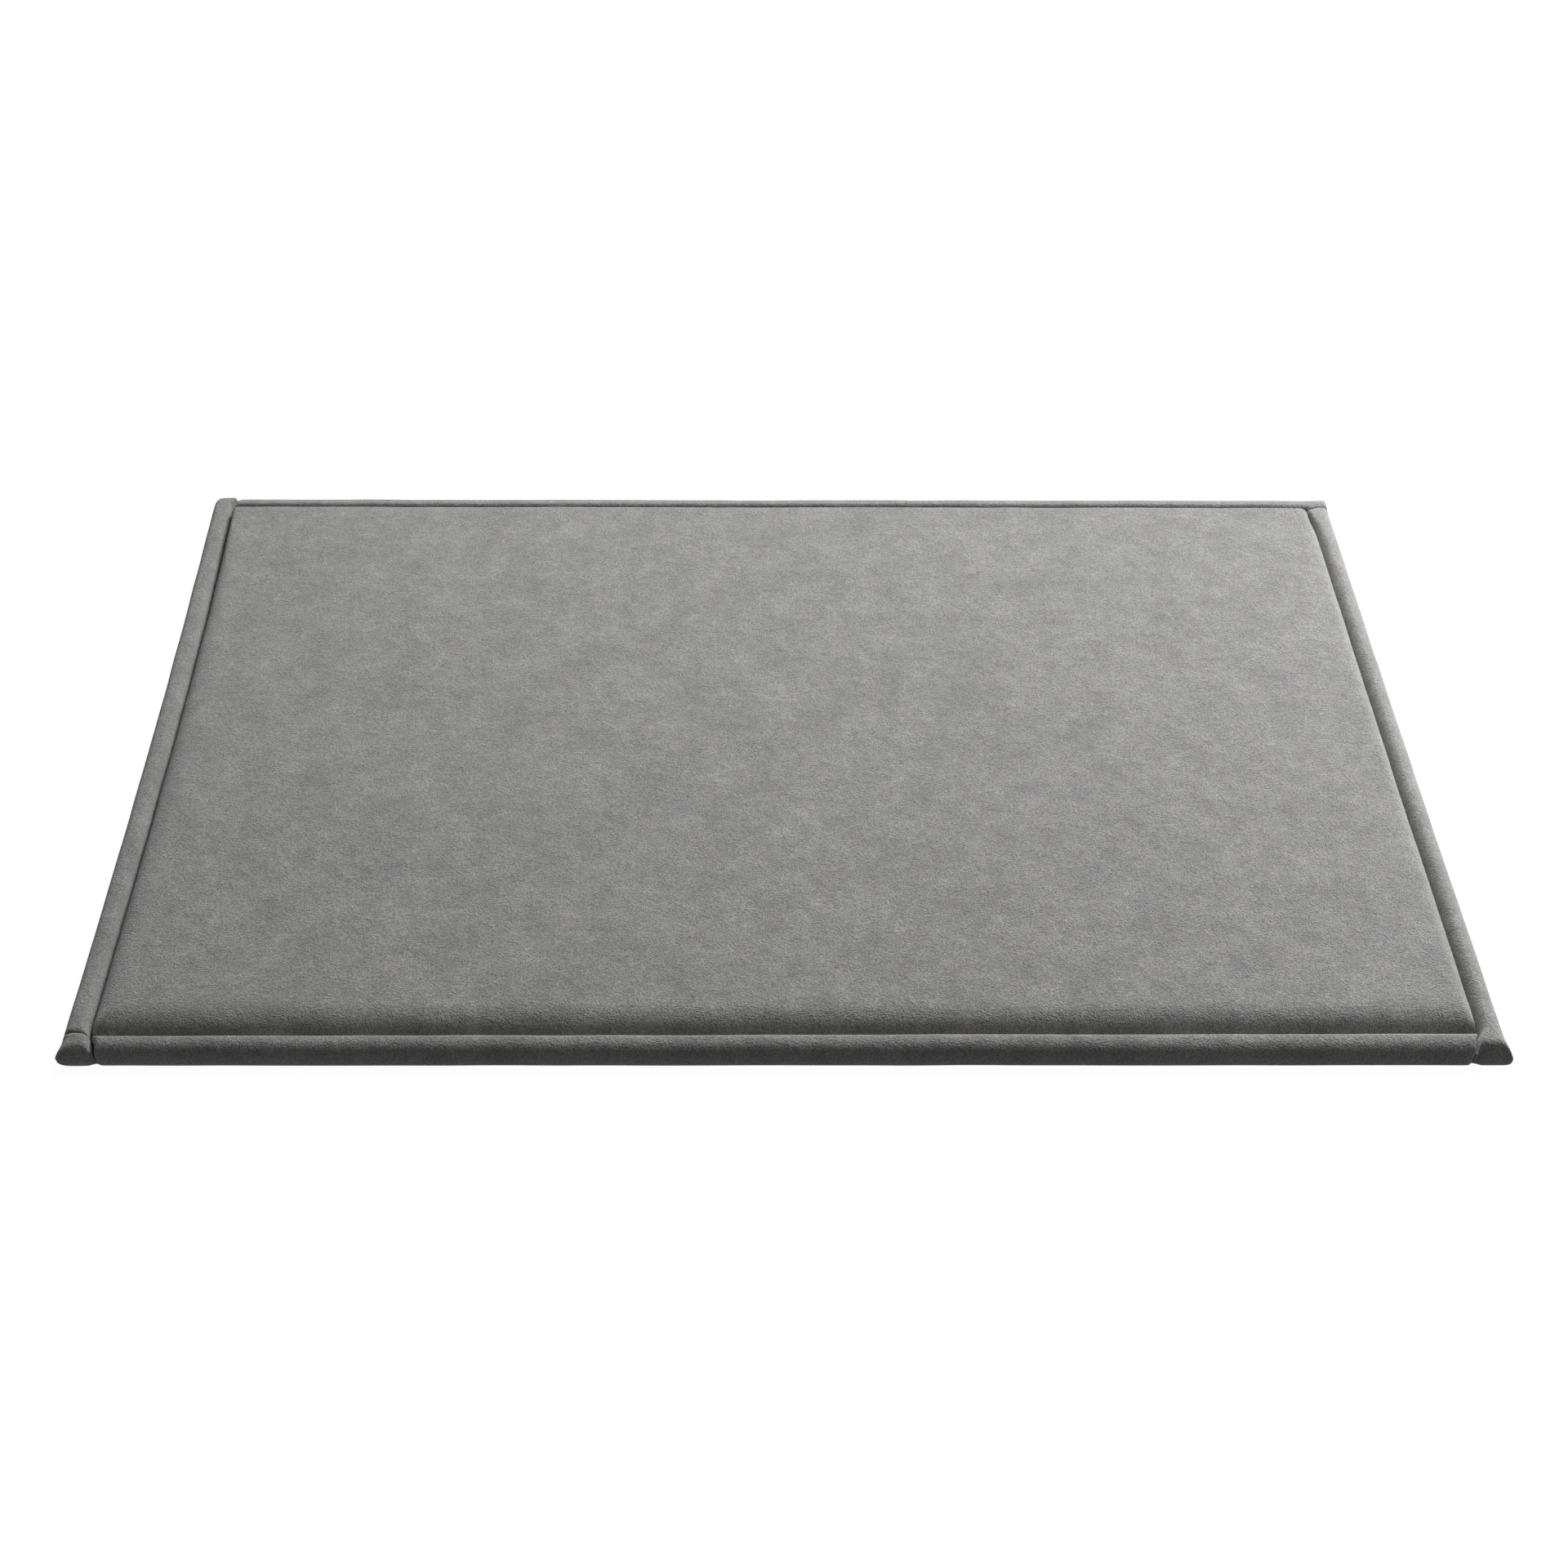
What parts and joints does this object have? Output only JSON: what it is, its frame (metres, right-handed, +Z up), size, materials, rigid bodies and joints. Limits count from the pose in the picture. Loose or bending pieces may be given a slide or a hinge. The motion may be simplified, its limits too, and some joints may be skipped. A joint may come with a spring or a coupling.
{
  "type": "bath mat",
  "caption": "Rectangular padded bath mat: velvet stitched down into a flat centre panel framed by rounded border rolls, on a non-slip backing.",
  "frame": {"origin": "centre of the mat on the floor, at the tips of its grip layer", "axes": "+X along the mat's length, to the right seen from the front edge; -Y towards the front edge, which has the separate corner block at its left end; +Z up"},
  "size_m": [0.864, 0.533, 0.0203],
  "materials": {
    "velvet": "short dense grey pile with soft sheen and a faintly mottled nap",
    "foam": "open-cell polyurethane memory foam, hidden inside the cover",
    "backing": "plain woven polyester, matt",
    "grip": "thin moulded thermoplastic rubber with small raised dots, satin",
    "thread": "twisted polyester sewing thread, slight gloss",
    "label": "blank woven satin ribbon"
  },
  "bodies": {
    "root": {"velvet_cover": "velvet", "centre_foam": "foam", "front_border_foam": "foam", "back_border_foam": "foam", "left_border_foam": "foam", "right_border_foam": "foam", "front_left_corner_foam": "foam", "backing_cloth": "backing", "grip_layer": "grip", "care_label": "label", "left_seam_needle_thread": "thread", "front_seam_needle_thread": "thread", "back_seam_needle_thread": "thread", "right_seam_needle_thread": "thread", "left_seam_bobbin_thread": "thread", "front_seam_bobbin_thread": "thread", "back_seam_bobbin_thread": "thread", "right_seam_bobbin_thread": "thread", "hem_thread": "thread"}
  },
  "joints": []
}
